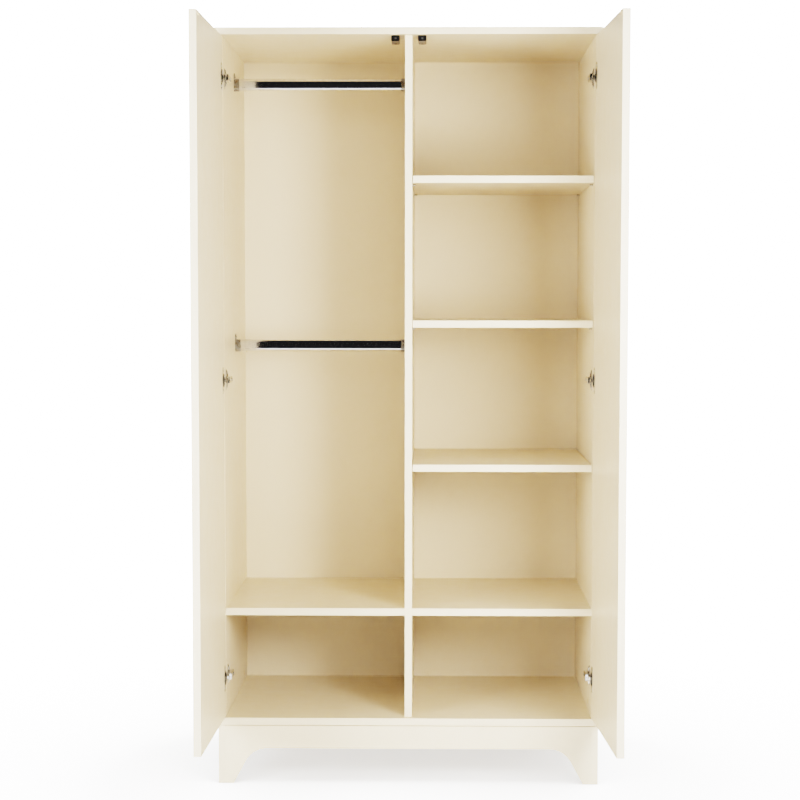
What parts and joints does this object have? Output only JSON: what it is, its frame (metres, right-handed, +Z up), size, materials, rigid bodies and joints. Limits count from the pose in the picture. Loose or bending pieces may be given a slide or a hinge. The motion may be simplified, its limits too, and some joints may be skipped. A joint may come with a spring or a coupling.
{
  "type": "two-door wardrobe",
  "caption": "Two-door wardrobe with hanging rails, a fixed shelf, adjustable shelves, concealed hinges, push latches and an arched plinth.",
  "frame": {"origin": "on the floor, in the middle of the footprint of the open wardrobe, 51 mm behind the front edges of the side panels", "axes": "+X to the right as seen from the front, +Y from the doors towards the back, +Z up"},
  "size_m": [0.9828, 1.0572, 1.874],
  "materials": {
    "ivory_lacquer": "warm ivory satin lacquer on board",
    "ivory_back_board": "warm ivory foil on thin board, matt",
    "ivory_door": "warm ivory satin lacquer on board",
    "ivory_plastic": "moulded, matt",
    "rail_chrome": "bright chrome plate",
    "socket_zinc": "nickel plated zinc casting, satin",
    "hinge_nickel": "nickel plated pressed steel",
    "screw_steel": "nickel plated steel",
    "pin_nickel": "nickel plated steel",
    "strike_ivory": "ivory powder-coated steel",
    "latch_black": "moulded black plastic",
    "fitting_zinc": "die-cast zinc",
    "beech": "plain beech"
  },
  "bodies": {
    "carcass": {"top_panel": "ivory_lacquer", "bottom_panel": "ivory_lacquer", "left_side_panel": "ivory_lacquer", "right_side_panel": "ivory_lacquer", "back_panel": "ivory_back_board", "fixed_shelf": "ivory_lacquer", "upper_divider": "ivory_lacquer", "lower_divider": "ivory_lacquer", "lower_adjustable_shelf": "ivory_lacquer", "middle_adjustable_shelf": "ivory_lacquer", "upper_adjustable_shelf": "ivory_lacquer", "shelf_pins": "pin_nickel", "plinth_front": "ivory_lacquer", "plinth_rear": "ivory_lacquer", "plinth_left": "ivory_lacquer", "plinth_right": "ivory_lacquer", "plinth_blocks": "beech", "lower_hanging_rail": "rail_chrome", "upper_hanging_rail": "rail_chrome", "lower_rail_left_socket": "socket_zinc", "lower_rail_right_socket": "socket_zinc", "upper_rail_left_socket": "socket_zinc", "upper_rail_right_socket": "socket_zinc", "rail_screws": "screw_steel", "panel_dowels": "beech", "cam_discs": "fitting_zinc", "cam_bolts": "fitting_zinc", "cam_caps": "ivory_plastic", "left_latch_housing": "latch_black", "right_latch_housing": "latch_black", "latch_screws": "screw_steel", "left_lower_hinge_arm": "hinge_nickel", "left_middle_hinge_arm": "hinge_nickel", "left_upper_hinge_arm": "hinge_nickel", "right_lower_hinge_arm": "hinge_nickel", "right_middle_hinge_arm": "hinge_nickel", "right_upper_hinge_arm": "hinge_nickel", "left_lower_hinge_plate": "hinge_nickel", "left_middle_hinge_plate": "hinge_nickel", "left_upper_hinge_plate": "hinge_nickel", "right_lower_hinge_plate": "hinge_nickel", "right_middle_hinge_plate": "hinge_nickel", "right_upper_hinge_plate": "hinge_nickel", "hinge_mounting_screws": "screw_steel"},
    "left_door": {"left_door": "ivory_door", "left_strike_plate": "strike_ivory", "left_lower_hinge_cup": "hinge_nickel", "left_middle_hinge_cup": "hinge_nickel", "left_upper_hinge_cup": "hinge_nickel", "left_hinge_pins": "hinge_nickel", "left_cup_screws": "screw_steel"},
    "right_door": {"right_door": "ivory_door", "right_strike_plate": "strike_ivory", "right_lower_hinge_cup": "hinge_nickel", "right_middle_hinge_cup": "hinge_nickel", "right_upper_hinge_cup": "hinge_nickel", "right_hinge_pins": "hinge_nickel", "right_cup_screws": "screw_steel"},
    "left_latch_plunger": {"left_latch_plunger": "latch_black"},
    "right_latch_plunger": {"right_latch_plunger": "latch_black"}
  },
  "joints": [
    {"name": "left_door_hinge", "type": "hinge", "parent": "carcass", "child": "left_door", "pos_m": [-0.4666, -0.063, 1.011], "axis": [0, 0, -1], "range_deg": [-91.1, 3.9]},
    {"name": "right_door_hinge", "type": "hinge", "parent": "carcass", "child": "right_door", "pos_m": [0.4666, -0.063, 1.011], "axis": [0, 0, 1], "range_deg": [-92.8, 2.2]},
    {"name": "left_latch_push", "type": "slide", "parent": "carcass", "child": "left_latch_plunger", "axis": [0, 1, 0], "range_m": [0, 0.004], "stiffness_N_per_m": 300, "springref_m": -0.004},
    {"name": "right_latch_push", "type": "slide", "parent": "carcass", "child": "right_latch_plunger", "axis": [0, 1, 0], "range_m": [0, 0.004], "stiffness_N_per_m": 300, "springref_m": -0.004}
  ]
}
